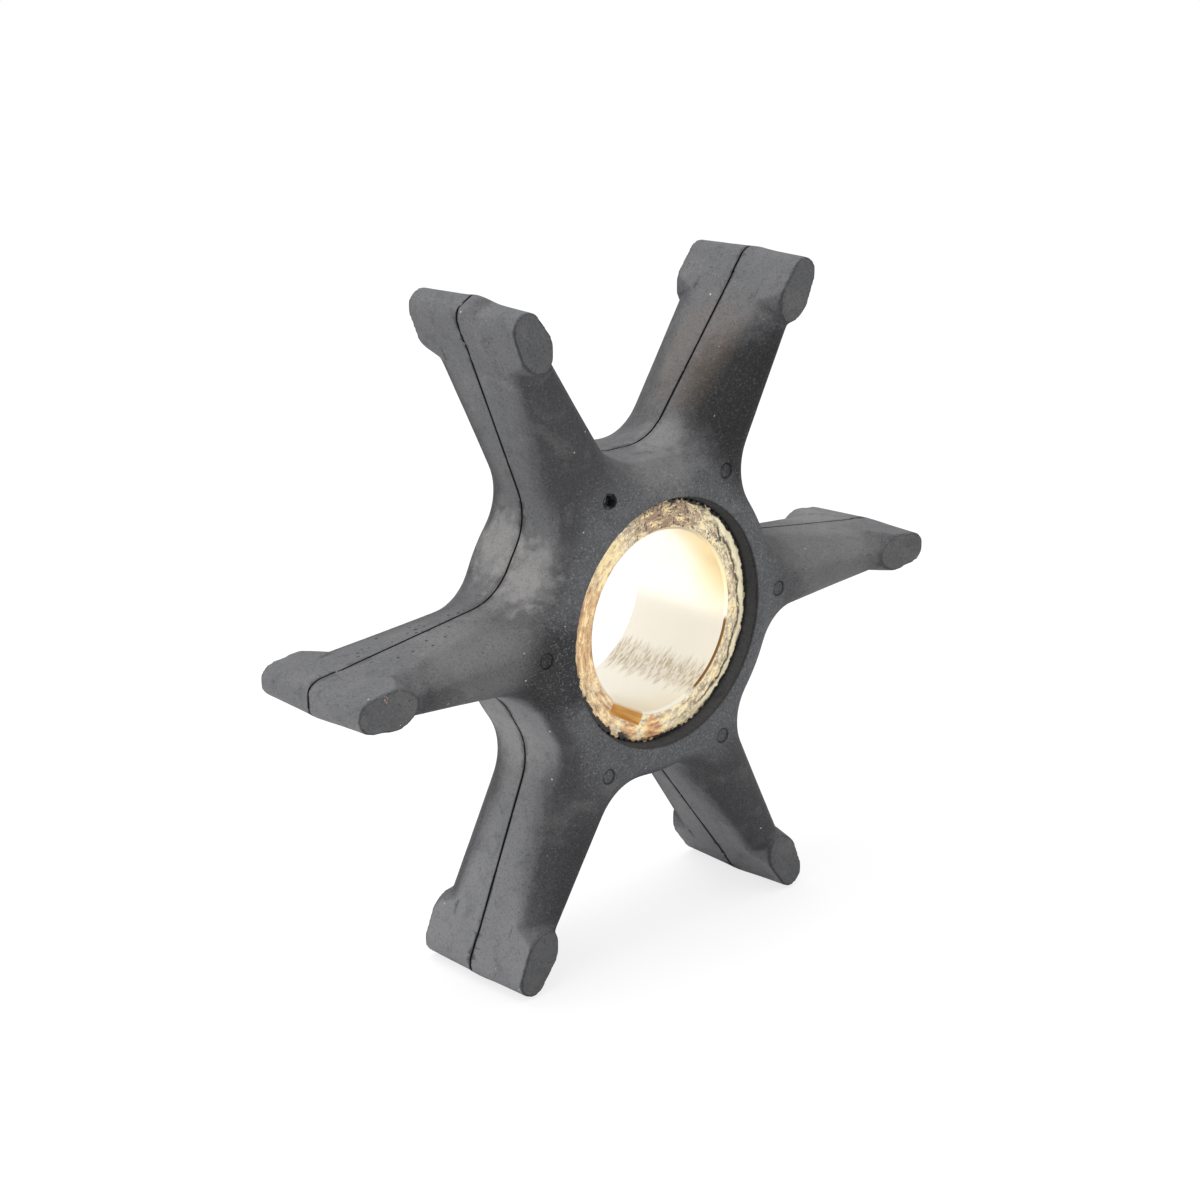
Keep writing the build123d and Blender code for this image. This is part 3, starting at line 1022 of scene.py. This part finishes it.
def soft_light(name, place, size, strength):
    """Square area lamp at a place, turned to the object, with a strength in watts."""
    data = bpy.data.lights.new(name, "AREA")
    data.shape, data.size, data.energy = "SQUARE", size, strength
    lamp = bpy.data.objects.new(name, data)
    bpy.context.scene.collection.objects.link(lamp)
    lamp.visible_glossy = False
    lamp.location = place
    lamp.rotation_euler = (-Vector(place)).to_track_quat("-Z", "Y").to_euler()


def build_world():
    """White surround."""
    world = bpy.data.worlds.new("white_surround")
    bpy.context.scene.world = world
    world.use_nodes = True
    net = Net(world.node_tree)
    white = net.node("ShaderNodeBackground", {"Color": (1, 1, 1, 1), "Strength": 1.0})
    net.node("ShaderNodeOutputWorld", {"Surface": white.outputs[0]})


def build_camera(settings):
    """Camera at its place, turned to its aim and rolled."""
    camera = bpy.data.objects.new("camera", bpy.data.cameras.new("camera"))
    bpy.context.scene.collection.objects.link(camera)
    bpy.context.scene.camera = camera
    camera.data.lens = settings.lens
    camera.data.sensor_width = 36
    camera.data.clip_start = 10 * MM
    camera.location = settings.camera_place
    sight = (Vector(settings.camera_aim) - camera.location).to_track_quat("-Z", "Y")
    camera.rotation_mode = "QUATERNION"
    camera.rotation_quaternion = sight @ Quaternion((0, 0, 1), settings.camera_roll)


def build_stage(settings):
    """Floor, lamps, surround and camera."""
    bpy.ops.mesh.primitive_plane_add(size=settings.floor_size, location=(0, 0, RUBBER_LOW.z))
    floor = added("floor")
    floor.data.materials.append(floor_material(settings))
    build_world()
    for name, (place, size, watts) in LAMPS.items():
        soft_light(name, place, size, getattr(settings, watts))
    build_camera(settings)
    bpy.context.scene.view_settings.view_transform = "Standard"


# ---- operators

def hand_over(piece, node, material):
    """Gives a finished piece its material and puts it in its node's place."""
    if not piece.data.polygons:
        raise RuntimeError(f"{piece.name} came out empty")
    piece.data.materials.append(material)
    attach(piece, "root")
    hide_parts(node)


class IMPELLER_OT_rubber(bpy.types.Operator):
    """Builds the moulded rubber hub and vanes."""

    bl_idname = "impeller.rubber"
    bl_label = "Build Rubber"

    def execute(self, context):
        settings = context.scene.impeller_rubber
        hand_over(build_rubber(settings), RUBBER_NODE, rubber_material(settings))
        return {"FINISHED"}


class IMPELLER_OT_brass(bpy.types.Operator):
    """Builds the brass bushing."""

    bl_idname = "impeller.brass"
    bl_label = "Build Brass"

    def execute(self, context):
        settings = context.scene.impeller_brass
        hand_over(build_brass(settings), BRASS_NODE, brass_material(settings))
        return {"FINISHED"}


class IMPELLER_OT_stage(bpy.types.Operator):
    """Builds the floor, the lights and the camera."""

    bl_idname = "impeller.stage"
    bl_label = "Build Stage"

    def execute(self, context):
        build_stage(context.scene.impeller_stage)
        return {"FINISHED"}


class IMPELLER_PT_panel(bpy.types.Panel):
    """Sizes, colours and build buttons of the impeller."""

    bl_label = "Impeller"
    bl_idname = "IMPELLER_PT_panel"
    bl_space_type = "VIEW_3D"
    bl_region_type = "UI"
    bl_category = "Impeller"

    def draw(self, context):
        for part in SETTINGS:
            box = self.layout.box()
            box.label(text=part.capitalize())
            settings = getattr(context.scene, f"impeller_{part}")
            for name in settings.bl_rna.properties.keys():
                if name not in ("rna_type", "name"):
                    box.prop(settings, name)
            box.operator(f"impeller.{part}")


SETTINGS = {"rubber": RubberSettings, "brass": BrassSettings, "stage": StageSettings}
CLASSES = (*SETTINGS.values(), IMPELLER_OT_rubber, IMPELLER_OT_brass, IMPELLER_OT_stage,
           IMPELLER_PT_panel)


def register():
    """Adds the classes, and each part's settings to the scene."""
    for cls in CLASSES:
        bpy.utils.register_class(cls)
    for part, kind in SETTINGS.items():
        setattr(bpy.types.Scene, f"impeller_{part}", bpy.props.PointerProperty(type=kind))


def unregister():
    """Takes the settings and the classes away again."""
    for part in SETTINGS:
        delattr(bpy.types.Scene, f"impeller_{part}")
    for cls in reversed(CLASSES):
        bpy.utils.unregister_class(cls)


def main():
    """Builds every piece in turn."""
    register()
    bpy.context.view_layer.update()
    bpy.ops.impeller.rubber()
    bpy.ops.impeller.brass()
    bpy.ops.impeller.stage()


if __name__ == "__main__":
    main()
